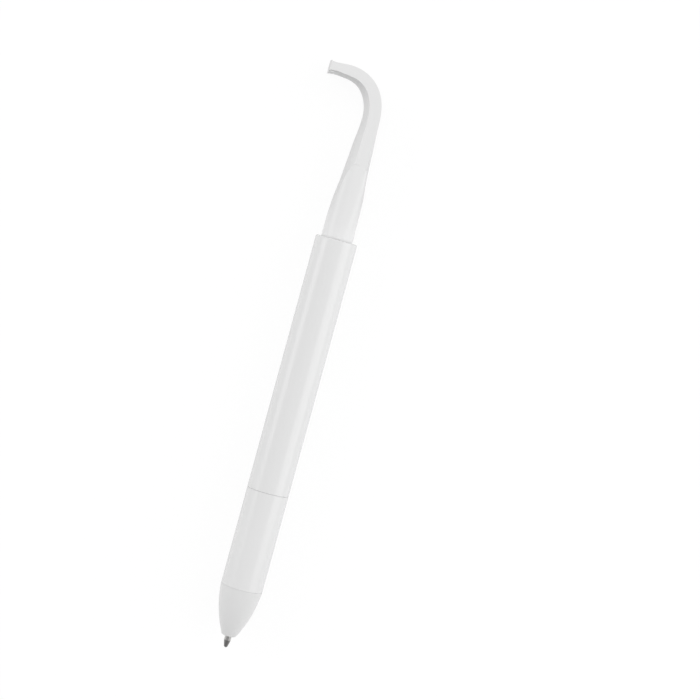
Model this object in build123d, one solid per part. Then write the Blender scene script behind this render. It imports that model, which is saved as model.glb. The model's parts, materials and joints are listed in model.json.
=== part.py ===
"""Telescopic pen with a back-scratcher head, closed, lying on a table."""
import os
from math import asin, atan2, cos, degrees, hypot, radians, sin
from build123d import *

# Sizes in millimetres, angles in degrees.
# Stations along the pen are counted from the ball point towards the scratcher.

# Outside of the pen
BARREL_D = 14.0
POINT_OUT = 4.1
NOSE_LEN = 16.6
LOWER_LEN = 33.0
UPPER_LEN = 85.8
NOSE_END_D = 4.6
NOSE_BULGE = 0.95
NOSE_END_ROUND = 0.6
RIM_ROUND = 0.6
SEAM_GAP = 0.06
NOSE_SEAM_GAP = 0.02
SEAM_CHAMFER = 0.05

# Telescope
GUIDE_WALL = 0.58
TUBE_WALL = 0.8
BARREL_GUIDE_LEN = 15.9
MIDDLE_GUIDE_LEN = 3.3
TUBE_END_GAP = 0.5
HEAD_SUNK = 2.7
BARREL_WALL = 1.0
MIDDLE_BUSH_LEN = 8.0
INNER_BUSH_LEN = 4.0
RIM_LIP = 2.0
MIDDLE_LIP = 1.0
MIDDLE_EDGE = 0.2
END_STEP = 1.0
BUSH_SEAT = 0.3
BUSH_SPLIT = 0.8
SOCKET_DEPTH = 11.0
PLUG_FLANGE = 1.0

# Fits
FIT = 0.02
RUN = 0.1
STOP_GAP = 0.1

# Scratcher head
BASE_ROUND = 0.8
STEM_START = 1.0
BAND_BACK = 2.95
BAND_THICK = 3.7
CROWN = 1.5
BACK_CROWN = 0.1
END_CROWN = 0.4
BEND_R = 12.0
BEND_RISE = 41.0
HOOK_REACH = 17.4
HOOK_THICK = 3.6
HOOK_END_THICK = 4.05
HOOK_DIP = 0.25
ARCH_RISE = 25.2
ARCH_RAMP = 1.2
ARCH_STEP = 0.4
DRUM_OVER = 3.0
STEM_OVER = 0.2
STEM_CROWN = 2.2
STEM_BACK_CROWN = 0.75
FLARE_UP = 0.045
FLARE_OUT = 0.075
TEETH = 5
NOTCH_W = 1.3
NOTCH_DEPTH = 2.2
TOOTH_ARC = 0.25
TOOTH_ROUND = 0.5
SIDE_TRIM = 0.6

# Stem sections: height as a share of the way to the arch (0 to 1) and from there to the bend (1 to 2),
# how far front and back stand out from the band, their crowns
STEM_ROWS = (
    (0.226, 2.5, 1.75, 2.2, 0.75),
    (0.413, 2.12, 1.6, 2.23, 0.75),
    (0.567, 2.08, 1.3, 1.95, 0.75),
    (0.675, 1.89, 1.0, 1.81, 0.75),
    (0.873, 1.15, 0.45, 2.05, 0.85),
    (1.0, 0.25, 0.2, 2.7, 0.9),
    (1.158, 0.2, 0.14, 2.55, 0.82),
    (1.516, 0.2, 0.12, 2.1, 0.58),
)

# Round stem sections: share of its height, front, back and sides as shares of the base radius,
# fullness of the back
ROUND = 0.5 ** 0.5
DRUM_ROWS = (
    (0.0, 1.0, 1.0, 1.0, ROUND),
    (0.45, 0.985, 0.945, 0.995, 1.4),
    (1.0, 0.93, 0.735, 0.968, 4.0),
)

# Even steps round the bend: how far front and back move outwards, front crown as a share of CROWN
BEND_ROWS = (
    (-0.2, 0.1, 1.03),
    (-0.05, 0.2, 1.0),
    (0.41, 0.41, 0.97),
    (0.33, 0.15, 0.59),
    (0.16, -0.3, 0.35),
)

# Twist drive
TWIST = 120.0
RETRACT = 5.0
SLEEVE_WALL = 0.68
CORE_WALL = 1.45
CORE_PLUG = 3.2
CORE_FLOOR = 1.4
RIB_LEN = 3.6
RING_THICK = 0.8
RING_BITE = 0.45
RING_WIDTH = 1.0
RING_OPEN = 50.0
GROOVE_PLAY = 0.04
O_RING_WIRE = 0.7
SLEEVE_LEN = 11.6
PIN_D = 1.8
PIN_PLAY = 0.15
PIN_RISE = 3.4
CARRIER_LEN = 8.2
CARRIER_ABOVE = 2.2

# Refill
TIP_D = 2.3
TIP_CYLINDER = 1.5
TIP_LIP = 0.13
LIP_RISE = 0.75
BALL_D = 0.9
TUBE_D = 5.0
TUBE_BORE_D = 4.0
TUBE_NECK = 9.0
TUBE_SHOULDER = 14.0
TIP_SHANK = 4.0
SHANK_STEP = 0.3
NECK_WALL = 0.3
INK_HOLE_R = 0.3
INK_LEN = 15.0
GREASE_LEN = 2.5

# Nose inside
NECK_GAP = 0.8
NOSE_SPIGOT = 6.5
NOSE_SPIGOT_WALL = 1.6
TIP_PLAY = 0.15
CAVITY_CLEAR = 0.45
CAVITY_STEP = 1.0

# Stations and radii that follow
BARREL_R = BARREL_D / 2
BORE_R = BARREL_R - BARREL_WALL
S_NOSE = POINT_OUT
S_LOWER = S_NOSE + NOSE_LEN
S_MID = S_LOWER + LOWER_LEN
S_RIM = S_MID + UPPER_LEN
S_BASE = S_RIM - HEAD_SUNK
MOUTH_R = BORE_R - FIT - GUIDE_WALL
MIDDLE_R = MOUTH_R - RUN
MIDDLE_BORE = MIDDLE_R - TUBE_WALL
INNER_R = MIDDLE_BORE - FIT - GUIDE_WALL - RUN
INNER_BORE = INNER_R - TUBE_WALL
S_CORE_TOP = S_MID + CORE_PLUG
S_MIDDLE_TOP = S_BASE - STOP_GAP
S_MIDDLE_END = S_CORE_TOP + TUBE_END_GAP
S_MIDDLE_SEAT = S_MIDDLE_END + END_STEP
S_BARREL_GUIDE = S_RIM - RIM_LIP - BARREL_GUIDE_LEN
MIDDLE_TRAVEL = S_BARREL_GUIDE - STOP_GAP - S_MIDDLE_SEAT - MIDDLE_BUSH_LEN
S_INNER_SEAT = S_MIDDLE_SEAT + PLUG_FLANGE
S_INNER_END = S_INNER_SEAT + INNER_BUSH_LEN + STOP_GAP
S_MIDDLE_GUIDE = S_MIDDLE_TOP - MIDDLE_LIP - MIDDLE_GUIDE_LEN
INNER_TRAVEL = S_MIDDLE_GUIDE - STOP_GAP - S_INNER_SEAT - INNER_BUSH_LEN
SEAT_R = MIDDLE_R - BUSH_SEAT
BASE_R = MIDDLE_R
RIB_R = BORE_R - FIT - SLEEVE_WALL
CORE_R = RIB_R - RUN
CORE_BORE_R = CORE_R - CORE_WALL
S_RIB = S_MID - SEAM_GAP - RIB_LEN
S_RING = S_RIB - STOP_GAP - RING_THICK
S_O_RING = S_RIB + RIB_LEN / 2
RING_R = (RIB_R + BORE_R) / 2 + RING_BITE / 2
S_SLEEVE = S_RING - STOP_GAP - SLEEVE_LEN
S_PIN = S_SLEEVE + PIN_RISE
SLOT_HALF = PIN_D / 2 + PIN_PLAY
PIN_END_R = BORE_R - PIN_PLAY
CARRIER_R = CORE_BORE_R - RUN
S_CARRIER = S_PIN + CARRIER_ABOVE - CARRIER_LEN
S_TAIL = S_PIN - PIN_D / 2 - STOP_GAP
TIP_R = TIP_D / 2
TUBE_R = TUBE_D / 2
TUBE_BORE_R = TUBE_BORE_D / 2
NOSE_BORE_R = TIP_R + TIP_PLAY
SHANK_R = TIP_R - SHANK_STEP


def turned(*outline):
    """Solid of revolution about the pen's axis from (radius, station) corners."""
    edge = Polyline(*[(r, 0, s) for r, s in outline], close=True)
    return revolve(make_face(edge), Axis.Z)


def ring(outer, inner, low, high):
    """Plain tube between two stations."""
    return turned((inner, low), (outer, low), (outer, high), (inner, high))


def split_ring(outer, inner, low, high, width):
    """Tube with one lengthwise cut."""
    cut = Box(outer, width, 2 * (high - low), align=(Align.MIN, Align.CENTER, Align.CENTER))
    return ring(outer, inner, low, high) - Pos(0, 0, low) * cut


def round_edge(body, radius, station, size):
    """Fillet of the circular edge at one radius and station."""
    edges = [
        e for e in body.edges().filter_by(GeomType.CIRCLE)
        if abs(e.radius - radius) < 1e-4 and abs(e.center().Z - station) < 1e-4
    ]
    return fillet(edges, size)


# Barrels and nose

def upper_barrel():
    """Outer tube: one bore, a lip at the mouth, a rounded rim."""
    c = SEAM_CHAMFER
    lip = MOUTH_R + RUN
    body = turned(
        (BORE_R, S_MID), (BARREL_R - c, S_MID), (BARREL_R, S_MID + c),
        (BARREL_R, S_RIM), (lip + c, S_RIM), (lip, S_RIM - c),
        (lip, S_RIM - RIM_LIP), (BORE_R, S_RIM - RIM_LIP),
    )
    return round_edge(body, BARREL_R, S_RIM, RIM_ROUND)


def mouth_bush():
    """Guide in the barrel mouth: its lower end stops the middle tube's bush."""
    return ring(BORE_R - FIT, MOUTH_R, S_BARREL_GUIDE, S_RIM - RIM_LIP)


def lower_barrel():
    """Turning grip: a wide bore with an inner rib at its upper end."""
    c = SEAM_CHAMFER
    low = S_LOWER + NOSE_SEAM_GAP
    top = S_MID - SEAM_GAP
    return turned(
        (BORE_R, low), (BARREL_R - c, low), (BARREL_R, low + c),
        (BARREL_R, top - c), (BARREL_R - c, top), (RIB_R, top),
        (RIB_R, S_RIB), (BORE_R, S_RIB),
    )


def nose_cone():
    """Arched cone with a rounded end, a bore for the tip and a spigot."""
    tip_r = NOSE_END_D / 2
    belly = ((tip_r + BARREL_R) / 2 + NOSE_BULGE, 0, S_NOSE + NOSE_LEN / 2)
    arc = ThreePointArc((tip_r, 0, S_NOSE), belly, (BARREL_R, 0, S_LOWER))
    bore_top = TUBE_NECK - NECK_GAP
    spigot_r = BORE_R - FIT
    cavity_r = spigot_r - NOSE_SPIGOT_WALL
    rest = Polyline(
        (BARREL_R, 0, S_LOWER), (spigot_r, 0, S_LOWER), (spigot_r, 0, S_LOWER + NOSE_SPIGOT),
        (cavity_r, 0, S_LOWER + NOSE_SPIGOT), (cavity_r, 0, S_LOWER - CAVITY_STEP),
        (TIP_R + CAVITY_CLEAR, 0, bore_top), (NOSE_BORE_R, 0, bore_top),
        (NOSE_BORE_R, 0, S_NOSE), (tip_r, 0, S_NOSE),
    )
    body = revolve(make_face(Wire([arc] + list(rest.edges()))), Axis.Z)
    return round_edge(body, tip_r, S_NOSE, NOSE_END_ROUND)


# Telescope

def middle_tube():
    """Tube with a lip at its mouth and a seat for the bush at its lower end."""
    c = MIDDLE_EDGE
    seat_top = S_MIDDLE_SEAT + MIDDLE_BUSH_LEN + FIT
    lip = INNER_R + 2 * RUN
    return turned(
        (MIDDLE_BORE, S_MIDDLE_END), (MIDDLE_R, S_MIDDLE_END), (MIDDLE_R, S_MIDDLE_SEAT),
        (SEAT_R, S_MIDDLE_SEAT), (SEAT_R, seat_top), (MIDDLE_R, seat_top),
        (MIDDLE_R, S_MIDDLE_TOP - c), (MIDDLE_R - c, S_MIDDLE_TOP), (lip, S_MIDDLE_TOP),
        (lip, S_MIDDLE_TOP - MIDDLE_LIP), (MIDDLE_BORE, S_MIDDLE_TOP - MIDDLE_LIP),
    )


def middle_bush():
    """Split friction bush that slides in the barrel."""
    low = S_MIDDLE_SEAT + FIT / 2
    return split_ring(BORE_R - RUN, SEAT_R + FIT, low, low + MIDDLE_BUSH_LEN, BUSH_SPLIT)


def middle_mouth_bush():
    """Guide in the middle tube's mouth: its lower end stops the inner bush."""
    return ring(MIDDLE_BORE - FIT, INNER_R + RUN, S_MIDDLE_GUIDE, S_MIDDLE_TOP - MIDDLE_LIP)


def inner_tube():
    """Tube from the plug up into the head's socket."""
    return ring(INNER_R, INNER_BORE, S_INNER_END, S_BASE + SOCKET_DEPTH)


def inner_tube_plug():
    """Plug in the lower end: spigot, neck for the bush, flange."""
    neck = INNER_R - BUSH_SEAT
    low = S_INNER_SEAT - PLUG_FLANGE
    spigot = INNER_BORE - FIT
    return turned(
        (0, low), (INNER_R, low), (INNER_R, S_INNER_SEAT), (neck, S_INNER_SEAT),
        (neck, S_INNER_END), (spigot, S_INNER_END), (spigot, S_INNER_END + INNER_BUSH_LEN),
        (0, S_INNER_END + INNER_BUSH_LEN),
    )


def inner_bush():
    """Split friction bush between plug flange and tube end."""
    low = S_INNER_SEAT + STOP_GAP / 2
    neck = INNER_R - BUSH_SEAT + RUN / 2
    return split_ring(MIDDLE_BORE - RUN, neck, low, low + INNER_BUSH_LEN, BUSH_SPLIT)


# Scratcher head: x is across (hook towards -x), y is along the paddle's width

def half_width(x, z):
    """Half the paddle's width at height z over the rim and distance x from the axis."""
    return BASE_R + FLARE_UP * (z - ARCH_RISE) - FLARE_OUT * x


def lens(turn, rise, run, row, half):
    """Section with two crowned faces, seen from the bend's axis at one turn of the path."""
    front, back, front_crown, back_crown = row
    wide = half + SIDE_TRIM
    grow = (wide / half) ** 2 - 1
    f_mid = BEND_R + front - front_crown
    b_mid = BEND_R + back + back_crown
    f_side = BEND_R + front + front_crown * grow
    b_side = BEND_R + back - back_crown * grow
    outline = Wire([
        ThreePointArc((f_side, -wide), (f_mid, 0), (f_side, wide)),
        Line((f_side, wide), (b_side, wide)),
        ThreePointArc((b_side, wide), (b_mid, 0), (b_side, -wide)),
        Line((b_side, -wide), (f_side, -wide)),
    ])
    c = cos(radians(turn))
    s = sin(radians(turn))
    plane = Plane(origin=(-BEND_R - run, 0, rise), x_dir=(c, 0, s), z_dir=(-s, 0, c))
    return plane * make_face(outline)


def hook_body():
    """Crowned stem that thins from the round base, bends a quarter turn and runs out flat."""
    front = BAND_BACK - BAND_THICK
    slim = (BAND_THICK - HOOK_THICK) / 2
    thin = (HOOK_THICK - HOOK_END_THICK) / 2
    over = BASE_R + STEM_OVER
    row = (STEM_CROWN - over, over - STEM_BACK_CROWN, STEM_CROWN, STEM_BACK_CROWN)
    faces = [lens(0, STEM_START, 0, row, BASE_R)]
    for share, f, b, front_crown, back_crown in STEM_ROWS:
        row = (front - f, BAND_BACK + b, front_crown, back_crown)
        rise = ARCH_RISE * min(share, 1) + (BEND_RISE - ARCH_RISE) * max(share - 1, 0)
        faces.append(lens(0, rise, 0, row, max(BASE_R, half_width(0, rise))))
    for i, (f, b, share) in enumerate(BEND_ROWS):
        way = i / (len(BEND_ROWS) - 1)
        turn = 90 * way
        f += front + (slim - HOOK_DIP) * way
        b += BAND_BACK - (slim + HOOK_DIP) * way
        row = (f, b, CROWN * share, BACK_CROWN)
        x = BEND_R * (cos(radians(turn)) - 1)
        z = BEND_RISE + BEND_R * sin(radians(turn))
        faces.append(lens(turn, BEND_RISE, 0, row, half_width(x, z)))
    row = (row[0] + thin, row[1] - thin, END_CROWN, BACK_CROWN)
    end = half_width(-HOOK_REACH, BEND_RISE + BEND_R)
    faces.append(lens(90, BEND_RISE, HOOK_REACH - BEND_R, row, end))
    return loft(faces)


def drum_section(front, back, side, full):
    """Round section whose back corners can be fuller than an ellipse."""
    xs = (back, back, -front, -front)
    ys = (side, -side, -side, side)
    weights = (full, full, ROUND, ROUND)
    ends = [(0, side), (back, 0), (0, -side), (-front, 0), (0, side)]
    quarters = []
    for i in range(4):
        corner = (xs[i], ys[i])
        quarters.append(Bezier(ends[i], corner, ends[i + 1], weights=[1, weights[i], 1]))
    return make_face(Wire(quarters))


def drum_body():
    """Round stem over the rim that thins towards the arch, more at the front than at the back."""
    height = ARCH_RISE + DRUM_OVER - STEM_START
    faces = []
    for share, front, back, side, full in DRUM_ROWS:
        section = drum_section(front * BASE_R, back * BASE_R, side * BASE_R, full)
        faces.append(Pos(0, 0, STEM_START + height * share) * section)
    return loft(faces)


def plan_body():
    """What the paddle may fill sideways: ramp at the arch, then two flared flats."""
    high = BEND_RISE + 2 * BEND_R
    wide = 2 * HOOK_REACH
    low = ARCH_RISE - ARCH_RAMP
    body = None
    for side in (1, -1):
        outline = [(0, low), (side * (BASE_R - ARCH_STEP), low), (side * BASE_R, ARCH_RISE)]
        outline += [(side * wide, ARCH_RISE), (side * wide, high), (0, high)]
        face = make_face(Polyline(*[(0, y, z) for y, z in outline], close=True))
        block = extrude(face, wide, dir=(1, 0, 0), both=True)
        body = block if body is None else body + block
    for side in (1, -1):
        normal = Vector(FLARE_OUT, side, -FLARE_UP)
        cut = Plane(origin=(0, side * BASE_R, ARCH_RISE), x_dir=(0, 0, 1), z_dir=normal)
        body -= cut * Box(4 * high, 4 * high, 2 * wide, align=(Align.CENTER, Align.CENTER, Align.MIN))
    return body


def tooth_plan():
    """Paddle seen along the pen: flared sides, arched end, notches, rounded tooth tips."""
    top = BEND_RISE + BEND_R + BAND_BACK
    tip = half_width(-HOOK_REACH, top)
    back = half_width(BEND_R, top)
    corner = TOOTH_ARC - HOOK_REACH
    plan = make_face(Wire([
        Line((BEND_R, -back), (BEND_R, back)),
        Line((BEND_R, back), (corner, tip)),
        ThreePointArc((corner, tip), (-HOOK_REACH, 0), (corner, -tip)),
        Line((corner, -tip), (BEND_R, -back)),
    ]))
    arc_r = (tip * tip + TOOTH_ARC * TOOTH_ARC) / (2 * TOOTH_ARC)
    pitch = 2 * tip / TEETH
    for i in range(1, TEETH):
        y = i * pitch - tip
        edge = arc_r - HOOK_REACH - (arc_r * arc_r - y * y) ** 0.5
        root = edge + NOTCH_DEPTH - NOTCH_W / 2
        channel = Rectangle(3 * NOTCH_DEPTH, NOTCH_W, align=(Align.MAX, Align.CENTER))
        plan -= Pos(root, y) * (channel + Circle(NOTCH_W / 2))
    tips = [v for v in plan.vertices() if v.X < corner + TOOTH_ROUND]
    return fillet(tips, TOOTH_ROUND)


def toothed(body):
    """Body trimmed to the plan with the teeth."""
    return body & extrude(tooth_plan(), BEND_RISE + 3 * BEND_R)


def scratcher_head():
    """Round base with a socket, running out into the bent and toothed paddle."""
    low = (Align.CENTER, Align.CENTER, Align.MIN)
    base = Pos(0, 0, -HEAD_SUNK) * Cylinder(BASE_R, HEAD_SUNK + STEM_START, align=low)
    socket = Pos(0, 0, -HEAD_SUNK) * Cylinder(INNER_R + FIT, SOCKET_DEPTH + FIT, align=low)
    body = base + toothed(hook_body() & (plan_body() + drum_body()))
    body = round_edge(body, BASE_R, -HEAD_SUNK, BASE_ROUND)
    return Pos(0, 0, S_RIM) * (body - socket)


# Twist drive

def twist_core():
    """Core pressed in the upper barrel: closed top, two helical slots, two grooves."""
    low = S_SLEEVE
    plug_r = BORE_R - FIT
    ring_floor = RING_R - RING_WIDTH - GROOVE_PLAY
    ring_low = S_RING - GROOVE_PLAY
    ring_high = S_RING + RING_THICK + GROOVE_PLAY
    o_half = O_RING_WIRE / 2 + GROOVE_PLAY
    o_floor = RIB_R - O_RING_WIRE - GROOVE_PLAY
    body = turned(
        (CORE_BORE_R, low), (CORE_R, low),
        (CORE_R, ring_low), (ring_floor, ring_low), (ring_floor, ring_high), (CORE_R, ring_high),
        (CORE_R, S_O_RING - o_half), (o_floor, S_O_RING - o_half),
        (o_floor, S_O_RING + o_half), (CORE_R, S_O_RING + o_half),
        (CORE_R, S_MID), (plug_r, S_MID), (plug_r, S_CORE_TOP), (0, S_CORE_TOP),
        (0, S_CORE_TOP - CORE_FLOOR), (CORE_BORE_R, S_CORE_TOP - CORE_FLOOR),
    )
    return body - helical_slots()


def helical_slots():
    """Two opposite slots that lift the pin by RETRACT over TWIST."""
    rate = TWIST / RETRACT
    over = SLOT_HALF * 1.2
    low = S_PIN - over
    height = RETRACT + 2 * over
    lean = degrees(atan2(RETRACT, radians(TWIST) * CORE_BORE_R))
    half_angle = rate * SLOT_HALF / cos(radians(lean))
    start = -rate * over
    far = CORE_R + 1.0
    near = CORE_BORE_R - 1.0
    cutter = None
    for turn in (0, 180):
        a = radians(start + turn - half_angle)
        m = radians(start + turn)
        b = radians(start + turn + half_angle)
        outline = Wire([
            Line((near * cos(a), near * sin(a)), (far * cos(a), far * sin(a))),
            ThreePointArc(
                (far * cos(a), far * sin(a)), (far * cos(m), far * sin(m)),
                (far * cos(b), far * sin(b)),
            ),
            Line((far * cos(b), far * sin(b)), (near * cos(b), near * sin(b))),
            ThreePointArc(
                (near * cos(b), near * sin(b)), (near * cos(m), near * sin(m)),
                (near * cos(a), near * sin(a)),
            ),
        ])
        section = Pos(0, 0, low) * Face(outline)
        slot = Solid.extrude_linear_with_rotation(
            section, (0, 0, low), (0, 0, height), rate * height
        )
        cutter = slot if cutter is None else cutter + slot
    return cutter


def snap_ring():
    """Open ring in the core's groove, under the lower barrel's rib."""
    body = ring(RING_R, RING_R - RING_WIDTH, S_RING, S_RING + RING_THICK)
    spread = radians(RING_OPEN / 2)
    x = 2 * RING_R * cos(spread)
    y = 2 * RING_R * sin(spread)
    wedge = make_face(Polyline((0, 0), (x, y), (x, -y), close=True))
    return body - Pos(0, 0, S_RING) * extrude(wedge, 2 * RING_THICK, both=True)


def friction_o_ring():
    """Round ring that drags on the lower barrel's rib."""
    wire = O_RING_WIRE / 2
    return Pos(0, 0, S_O_RING) * Torus(RIB_R - wire - FIT, wire)


def key_sleeve():
    """Sleeve in the lower barrel with two straight slots for the pin."""
    body = ring(BORE_R - FIT, RIB_R, S_SLEEVE, S_SLEEVE + SLEEVE_LEN)
    length = RETRACT + 2 * SLOT_HALF
    slot = Box(3 * BORE_R, 2 * SLOT_HALF, length, align=(Align.CENTER, Align.CENTER, Align.MIN))
    return body - Pos(0, 0, S_PIN - SLOT_HALF) * slot


def refill_carrier():
    """Slider in the core: bore for the refill's tail, cross hole for the pin."""
    body = turned(
        (0, S_TAIL), (TUBE_R + FIT, S_TAIL), (TUBE_R + FIT, S_CARRIER),
        (CARRIER_R, S_CARRIER), (CARRIER_R, S_CARRIER + CARRIER_LEN),
        (0, S_CARRIER + CARRIER_LEN),
    )
    hole = Cylinder(PIN_D / 2 + FIT, 3 * CARRIER_R)
    return body - Pos(0, 0, S_PIN) * Rot(0, 90, 0) * hole


def carrier_pin():
    """Cross pin through the carrier."""
    return Pos(0, 0, S_PIN) * Rot(0, 90, 0) * Cylinder(PIN_D / 2, 2 * PIN_END_R)


# Refill

def refill_tube():
    """Wide short tube with a cone at the front."""
    neck = TIP_R + NECK_WALL
    bore = SHANK_R + FIT
    wall = TUBE_R - TUBE_BORE_R
    return turned(
        (bore, TUBE_NECK), (neck, TUBE_NECK), (TUBE_R, TUBE_SHOULDER),
        (TUBE_R, S_TAIL - STOP_GAP), (TUBE_BORE_R, S_TAIL - STOP_GAP),
        (TUBE_BORE_R, TUBE_SHOULDER + wall), (bore, TUBE_NECK + TIP_SHANK),
    )


def refill_ink():
    """Ink column in the tube."""
    low = TUBE_SHOULDER + TUBE_R - TUBE_BORE_R + FIT
    r = TUBE_BORE_R - FIT
    return turned((0, low), (r, low), (r, low + INK_LEN), (0, low + INK_LEN))


def refill_follower():
    """Grease plug behind the ink."""
    low = TUBE_SHOULDER + TUBE_R - TUBE_BORE_R + INK_LEN + 2 * FIT
    r = TUBE_BORE_R - FIT
    return turned((0, low), (r, low), (r, low + GREASE_LEN), (0, low + GREASE_LEN))


def refill_tip():
    """Metal tip: cone, cylinder, shank in the tube, ink hole."""
    cone = POINT_OUT - TIP_CYLINDER
    cup = BALL_D / 2
    neck = TUBE_NECK - FIT
    top = neck + TIP_SHANK - SHANK_STEP
    return turned(
        (INK_HOLE_R, BALL_D), (cup + FIT, cup), (cup + TIP_LIP, cup * LIP_RISE),
        (TIP_R, cone), (TIP_R, neck), (SHANK_R, neck), (SHANK_R, top), (INK_HOLE_R, top),
    )


def refill_ball():
    """Writing ball."""
    return Pos(0, 0, BALL_D / 2) * Sphere(BALL_D / 2 - FIT)


def rest_roll():
    """Roll that lays both the barrel and the paddle's lower corner on the table."""
    x = HOOK_REACH - TOOTH_ARC - TOOTH_ROUND
    top = BEND_RISE + BEND_R + BAND_BACK - (BAND_THICK - HOOK_END_THICK) / 2 - HOOK_DIP
    y = half_width(-x, top)
    return degrees(atan2(y, x) - asin(BARREL_R / hypot(x, y)))


PARTS = {
    "upper_barrel": upper_barrel,
    "mouth_bush": mouth_bush,
    "twist_core": twist_core,
    "snap_ring": snap_ring,
    "friction_o_ring": friction_o_ring,
    "lower_barrel": lower_barrel,
    "key_sleeve": key_sleeve,
    "nose_cone": nose_cone,
    "refill_carrier": refill_carrier,
    "carrier_pin": carrier_pin,
    "refill_tube": refill_tube,
    "refill_ink": refill_ink,
    "refill_follower": refill_follower,
    "refill_tip": refill_tip,
    "refill_ball": refill_ball,
    "middle_tube": middle_tube,
    "middle_bush": middle_bush,
    "middle_mouth_bush": middle_mouth_bush,
    "inner_bush": inner_bush,
    "inner_tube": inner_tube,
    "inner_tube_plug": inner_tube_plug,
    "scratcher_head": scratcher_head,
}


def lay(solids):
    """Pen along +X on the table, hook towards +Y, middle of its box over the origin."""
    roll = radians(rest_roll())
    frame = Plane(origin=(0, 0, 0), x_dir=(0, -cos(roll), -sin(roll)), z_dir=(1, 0, 0))
    laid = {name: frame.location * body for name, body in solids.items()}
    boxes = [body.bounding_box() for body in laid.values()]
    x = (min(b.min.X for b in boxes) + max(b.max.X for b in boxes)) / 2
    y = (min(b.min.Y for b in boxes) + max(b.max.Y for b in boxes)) / 2
    z = min(b.min.Z for b in boxes)
    return {name: Pos(-x, -y, -z) * body for name, body in laid.items()}, (x, y, z)


if __name__ == "__main__":
    os.makedirs("parts", exist_ok=True)
    placed, shift = lay({name: make() for name, make in PARTS.items()})
    for name, body in placed.items():
        body.label = name
        export_step(body, f"parts/{name}.step")
    print("roll", round(rest_roll(), 3), "axis at", [round(-v, 4) for v in shift])
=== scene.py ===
import json
import math

import bpy
from mathutils import Matrix, Vector

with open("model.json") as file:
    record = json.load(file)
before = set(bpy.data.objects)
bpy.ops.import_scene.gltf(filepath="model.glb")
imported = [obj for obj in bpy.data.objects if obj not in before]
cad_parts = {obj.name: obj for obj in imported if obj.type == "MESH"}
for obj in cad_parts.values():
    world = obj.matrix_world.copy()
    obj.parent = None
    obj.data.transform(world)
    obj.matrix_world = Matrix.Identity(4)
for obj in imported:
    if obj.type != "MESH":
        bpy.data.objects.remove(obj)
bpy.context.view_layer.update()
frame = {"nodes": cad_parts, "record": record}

MM = 0.001

# Camera: almost straight above the lying pen, whose upper end leans to the right of the picture's top
CAMERA_AT = Vector((37.4, -11.92, 697.58)) * MM
CAMERA_AIM = Vector((8.14, -19.16, 7.0)) * MM
CAMERA_NEAR = 0.01
PEN_LEAN = math.radians(15.337)
LENS = 108.26
SENSOR = 36.0

# White surround: its radiance at the top, and the share of it that fades towards the table
WORLD_LIGHT = 1.0
WORLD_RISE = 0.15

# Lamps: power in watts, place and size in metres
RIGHT_LIGHT = 5.6
RIGHT_AT = (0.35, -1.07, 0.56)
RIGHT_SIZE = (1.4, 1.1)
LEFT_LIGHT = 3.1
LEFT_AT = (0.38, 0.95, 0.55)
LEFT_SIZE = (1.25, 0.6)

# Table: its own colour, the white that is seen, and the share of the lit colour that shows the shadow
WHITE = (1, 1, 1, 1)
SEEN_RAYS = ("Is Camera Ray", "Is Glossy Ray", "Is Transmission Ray")
FLOOR_SIZE = 6.0
FLOOR_COLOUR = (0.9, 0.9, 0.9, 1)
FLOOR_WHITE = 1.03
FLOOR_SHOW = 0.12

# Plastic: drift of colour and gloss over the surface, and depth of the grain
DRIFT_SCALE = 45.0
DRIFT_COLOUR = 0.015
DRIFT_GLOSS = 0.15
GRAIN_DEPTH = 0.02 * MM

# Painted shade on plastic that slants away from the viewer, standing in for the darker surroundings
# it faces: where the shade starts and ends (0 is straight on, 1 is edge on), and the share of the
# colour that is left at its end
BARREL_SLANT_SHADE = (0.6, 0.95, 0.78)
NOSE_SLANT_SHADE = (0.7, 1.0, 0.82)
HEAD_SLANT_SHADE = (0.12, 0.75, 0.84)
# On the head the painted shade fades in along the pen over this span
HEAD_SHADE_SPAN = (46.0 * MM, 56.0 * MM)     # along the pen: no such shade below, all of it above

# Turned metal: rings along the pen, painted shade where it is seen straight on, and the tip's cone,
# which is darker than its cylinder
RING_SCALE = 9000.0
RING_WAVER = 1.5
RING_COLOUR = 0.85
RING_GLOSS = 0.2
SIDE_ON = 0.4
TIP_CONE_END = -95.0 * MM
CONE_FADE = 0.15 * MM
CONE_COLOUR = 0.4

# Sockets of the Mix node that take and give colours
COLOUR_A, COLOUR_B, COLOUR_OUT = 6, 7, 2


def node_tree(name):
    """New material with an empty node tree and its output."""
    material = bpy.data.materials.new(name)
    material.use_nodes = True
    tree = material.node_tree
    tree.nodes.clear()
    return material, tree, tree.nodes.new("ShaderNodeOutputMaterial")


def add(tree, kind, **values):
    """New node with some of its sockets or properties set."""
    node = tree.nodes.new(kind)
    for key, value in values.items():
        if key in node.inputs:
            node.inputs[key].default_value = value
        else:
            setattr(node, key, value)
    return node


def feed(tree, socket, value):
    """Gives a socket a constant, or links another node's output to it."""
    if isinstance(value, bpy.types.NodeSocket):
        tree.links.new(value, socket)
    else:
        socket.default_value = value


def calc(tree, operation, *values):
    """Result of a sum on constants and outputs."""
    node = add(tree, "ShaderNodeMath", operation=operation)
    for socket, value in zip(node.inputs, values):
        feed(tree, socket, value)
    return node.outputs[0]


def remap(tree, value, source, target):
    """Takes a value from one range to another and holds it there."""
    node = add(tree, "ShaderNodeMapRange")
    keys = ("Value", "From Min", "From Max", "To Min", "To Max")
    for key, entry in zip(keys, (value, *source, *target)):
        feed(tree, node.inputs[key], entry)
    return node.outputs["Result"]


def times(tree, colour, shade):
    """Colour times a shade."""
    node = add(tree, "ShaderNodeMix", data_type="RGBA", blend_type="MULTIPLY")
    node.inputs["Factor"].default_value = 1.0
    feed(tree, node.inputs[COLOUR_A], colour)
    feed(tree, node.inputs[COLOUR_B], shade)
    return node.outputs[COLOUR_OUT]


def axes(tree, place):
    """X, Y and Z of a place."""
    node = add(tree, "ShaderNodeSeparateXYZ")
    tree.links.new(place, node.inputs[0])
    return node.outputs


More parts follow.
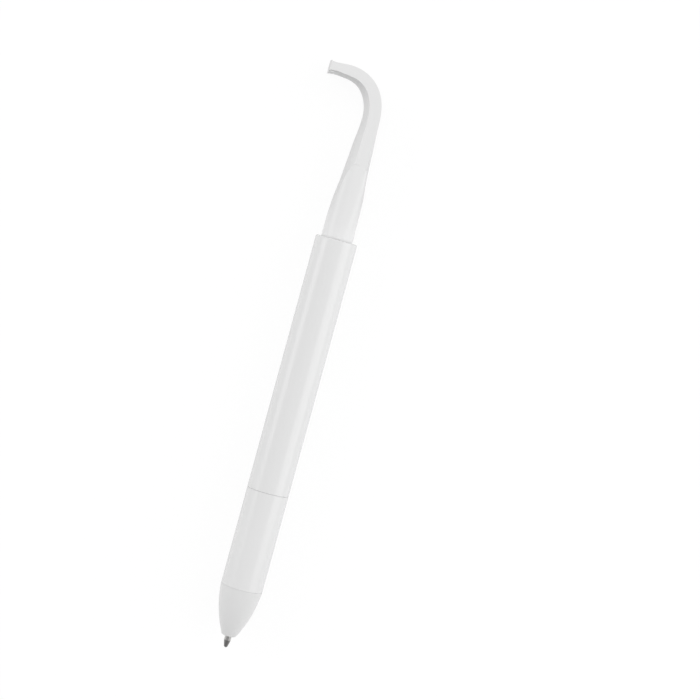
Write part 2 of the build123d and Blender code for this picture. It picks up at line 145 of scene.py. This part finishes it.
def blend(tree, share, first, second):
    """Mix of two shaders."""
    node = add(tree, "ShaderNodeMixShader")
    for socket, value in zip(node.inputs, (share, first.outputs[0], second.outputs[0])):
        tree.links.new(value, socket)
    return node.outputs[0]


def seen_by(tree, rays):
    """1 for the named kinds of ray, 0 for light that falls on things."""
    path = add(tree, "ShaderNodeLightPath")
    total = path.outputs[rays[0]]
    for ray in rays[1:]:
        total = calc(tree, "MAXIMUM", total, path.outputs[ray])
    return total


def make_world():
    """White surround, darker towards both ends of the pen, and plain white where it is seen."""
    world = bpy.data.worlds.new("studio")
    bpy.context.scene.world = world
    world.use_nodes = True
    tree = world.node_tree
    tree.nodes.clear()
    out = add(tree, "ShaderNodeOutputWorld")
    ray = axes(tree, add(tree, "ShaderNodeTexCoord").outputs["Generated"])
    square = calc(tree, "MULTIPLY", ray["X"], ray["X"])
    level = calc(tree, "MULTIPLY_ADD", square, -WORLD_LIGHT, WORLD_LIGHT)
    rise = calc(tree, "MULTIPLY_ADD", ray["Z"], WORLD_RISE, 1 - WORLD_RISE)
    light = add(tree, "ShaderNodeBackground", Color=WHITE)
    tree.links.new(calc(tree, "MULTIPLY", level, rise), light.inputs["Strength"])
    white = add(tree, "ShaderNodeBackground", Color=WHITE, Strength=1.0)
    tree.links.new(blend(tree, seen_by(tree, SEEN_RAYS), light, white), out.inputs[0])


def make_floor():
    """White table that keeps a faint shadow."""
    half = FLOOR_SIZE / 2
    mesh = bpy.data.meshes.new("floor")
    corners = [(-half, -half, 0), (half, -half, 0), (half, half, 0), (-half, half, 0)]
    mesh.from_pydata(corners, [], [(0, 1, 2, 3)])
    floor = bpy.data.objects.new("floor", mesh)
    bpy.context.scene.collection.objects.link(floor)
    material, tree, out = node_tree("floor_white")
    paper = add(tree, "ShaderNodeBsdfDiffuse", Color=FLOOR_COLOUR)
    white = add(tree, "ShaderNodeEmission", Color=WHITE, Strength=FLOOR_WHITE)
    seen = calc(tree, "MULTIPLY", seen_by(tree, SEEN_RAYS), 1 - FLOOR_SHOW)
    tree.links.new(blend(tree, seen, paper, white), out.inputs["Surface"])
    mesh.materials.append(material)


def softbox(name, at, size, power):
    """Area lamp that looks at the pen's middle."""
    data = bpy.data.lights.new(name, "AREA")
    data.shape = "RECTANGLE"
    data.size, data.size_y = size
    data.energy = power
    lamp = bpy.data.objects.new(name, data)
    bpy.context.scene.collection.objects.link(lamp)
    lamp.location = at
    lamp.rotation_euler = Vector(at).to_track_quat("Z", "Y").to_euler()
    lamp.visible_camera = False


def make_lights():
    """Large box at the right of the picture, a narrow one at its left."""
    softbox("right_box", RIGHT_AT, RIGHT_SIZE, RIGHT_LIGHT)
    softbox("left_box", LEFT_AT, LEFT_SIZE, LEFT_LIGHT)


def make_camera():
    """The photo's view."""
    data = bpy.data.cameras.new("photo_camera")
    data.lens = LENS
    data.sensor_width = SENSOR
    data.clip_start = CAMERA_NEAR
    camera = bpy.data.objects.new("photo_camera", data)
    bpy.context.scene.collection.objects.link(camera)
    back = (CAMERA_AT - CAMERA_AIM).normalized()
    pen = Vector((1, 0, 0))
    pen = (pen - back * pen.dot(back)).normalized()
    across = pen.cross(back)
    up = pen * math.cos(PEN_LEAN) - across * math.sin(PEN_LEAN)
    right = up.cross(back)
    turn = Matrix((right, up, back)).transposed().to_4x4()
    camera.matrix_world = Matrix.Translation(CAMERA_AT) @ turn
    bpy.context.scene.camera = camera


def plastic(name, colour, roughness, grain_size, grain, index=1.47, slant_shade=None, above=None):
    """Moulded plastic: faint drift of colour and gloss, fine grain, and painted shade where it slants
    away.
    """
    material, tree, out = node_tree(name)
    shader = add(tree, "ShaderNodeBsdfPrincipled", IOR=index)
    place = add(tree, "ShaderNodeTexCoord").outputs["Object"]
    noise = add(tree, "ShaderNodeTexNoise", Scale=DRIFT_SCALE, Detail=3.0)
    tree.links.new(place, noise.inputs["Vector"])
    drift = noise.outputs["Fac"]
    shade = remap(tree, drift, (0, 1), (1 - DRIFT_COLOUR, 1 + DRIFT_COLOUR))
    if slant_shade:
        start, end, left = slant_shade
        facing = add(tree, "ShaderNodeLayerWeight", Blend=0.5).outputs["Facing"]
        least = left
        if above:
            least = remap(tree, axes(tree, place)["X"], above, (1.0, left))
        # Painted shade: colour darkened where the surface slants away from the viewer; its gloss goes
        # away over the same span
        shade = calc(tree, "MULTIPLY", shade, remap(tree, facing, (start, end), (1.0, least)))
        shine = shader.inputs["Specular IOR Level"]
        tree.links.new(remap(tree, facing, (start, 1.0), (shine.default_value, 0.0)), shine)
    tree.links.new(times(tree, (*colour, 1), shade), shader.inputs["Base Color"])
    rough = (roughness * (1 - DRIFT_GLOSS), roughness * (1 + DRIFT_GLOSS))
    tree.links.new(remap(tree, drift, (0, 1), rough), shader.inputs["Roughness"])
    skin = add(tree, "ShaderNodeTexNoise", Scale=grain_size, Detail=2.0)
    tree.links.new(place, skin.inputs["Vector"])
    bump = add(tree, "ShaderNodeBump", Strength=grain, Distance=GRAIN_DEPTH)
    tree.links.new(skin.outputs["Fac"], bump.inputs["Height"])
    tree.links.new(bump.outputs["Normal"], shader.inputs["Normal"])
    tree.links.new(shader.outputs[0], out.inputs["Surface"])
    return material


def metal(name, colour, roughness, straight_on_shade=1.0, cone_end=None):
    """Metal with fine rings about the pen's axis, painted shade where seen straight on, and darker on
    a cone.
    """
    material, tree, out = node_tree(name)
    shader = add(tree, "ShaderNodeBsdfPrincipled", Metallic=1.0)
    place = add(tree, "ShaderNodeTexCoord").outputs["Object"]
    wave = add(tree, "ShaderNodeTexWave", wave_type="BANDS", bands_direction="X",
               Scale=RING_SCALE, Distortion=RING_WAVER)
    tree.links.new(place, wave.inputs["Vector"])
    rings = wave.outputs["Fac"]
    facing = add(tree, "ShaderNodeLayerWeight", Blend=0.5).outputs["Facing"]
    # Painted reflection of a dark space above: the colour is darker where the metal is seen straight
    # on
    tone = add(tree, "ShaderNodeMix", data_type="RGBA")
    tone.inputs[COLOUR_A].default_value = (*[c * straight_on_shade for c in colour], 1)
    tone.inputs[COLOUR_B].default_value = (*colour, 1)
    tree.links.new(remap(tree, facing, (0, SIDE_ON), (0, 1)), tone.inputs["Factor"])
    shade = remap(tree, rings, (0, 1), (1.0, RING_COLOUR))
    if cone_end is not None:
        fade = (cone_end - CONE_FADE, cone_end + CONE_FADE)
        cone = remap(tree, axes(tree, place)["X"], fade, (CONE_COLOUR, 1.0))
        shade = calc(tree, "MULTIPLY", shade, cone)
    tree.links.new(times(tree, tone.outputs[COLOUR_OUT], shade), shader.inputs["Base Color"])
    rough = (roughness * (1 - RING_GLOSS), roughness * (1 + RING_GLOSS))
    tree.links.new(remap(tree, rings, (0, 1), rough), shader.inputs["Roughness"])
    tree.links.new(shader.outputs[0], out.inputs["Surface"])
    return material


def grey(level):
    """Neutral colour."""
    return (level, level, level)


def dress():
    """Gives each CAD node its finish."""
    finishes = {
        "gloss_white": plastic("gloss_white", grey(0.8), 0.21, 900.0, 0.05, 1.62, BARREL_SLANT_SHADE),
        "satin_white": plastic("satin_white", grey(0.775), 0.3, 2500.0, 0.15, 1.5, NOSE_SLANT_SHADE),
        "head_white": plastic("head_white", grey(0.828), 0.3, 2200.0, 0.1, 1.5, HEAD_SLANT_SHADE,
                              HEAD_SHADE_SPAN),
        "tube_white": plastic("tube_white", grey(0.8), 0.3, 1500.0, 0.1),
        "nickel": metal("nickel", (0.62, 0.61, 0.6), 0.12, 0.4, TIP_CONE_END),
        "hard_ball": metal("hard_ball", (0.3, 0.3, 0.31), 0.15),
        "bush_grey": plastic("bush_grey", (0.6, 0.61, 0.62), 0.4, 1500.0, 0.1),
        "core_grey": plastic("core_grey", (0.5, 0.51, 0.53), 0.4, 1500.0, 0.1),
        "spring_steel": metal("spring_steel", (0.5, 0.5, 0.52), 0.3),
        "black_rubber": plastic("black_rubber", grey(0.03), 0.6, 2500.0, 0.3),
        "clear_tube": plastic("clear_tube", (0.75, 0.77, 0.78), 0.2, 900.0, 0.05),
        "blue_ink": plastic("blue_ink", (0.02, 0.03, 0.25), 0.15, 900.0, 0.02),
        "amber_grease": plastic("amber_grease", (0.7, 0.55, 0.25), 0.2, 900.0, 0.02),
    }
    for part in frame["record"]["subparts"]:
        mesh = frame["nodes"][part["node"]].data
        mesh.materials.clear()
        mesh.materials.append(finishes[part["material_slot"]])


bpy.context.scene.view_settings.view_transform = "Standard"
make_world()
make_floor()
make_lights()
make_camera()
dress()
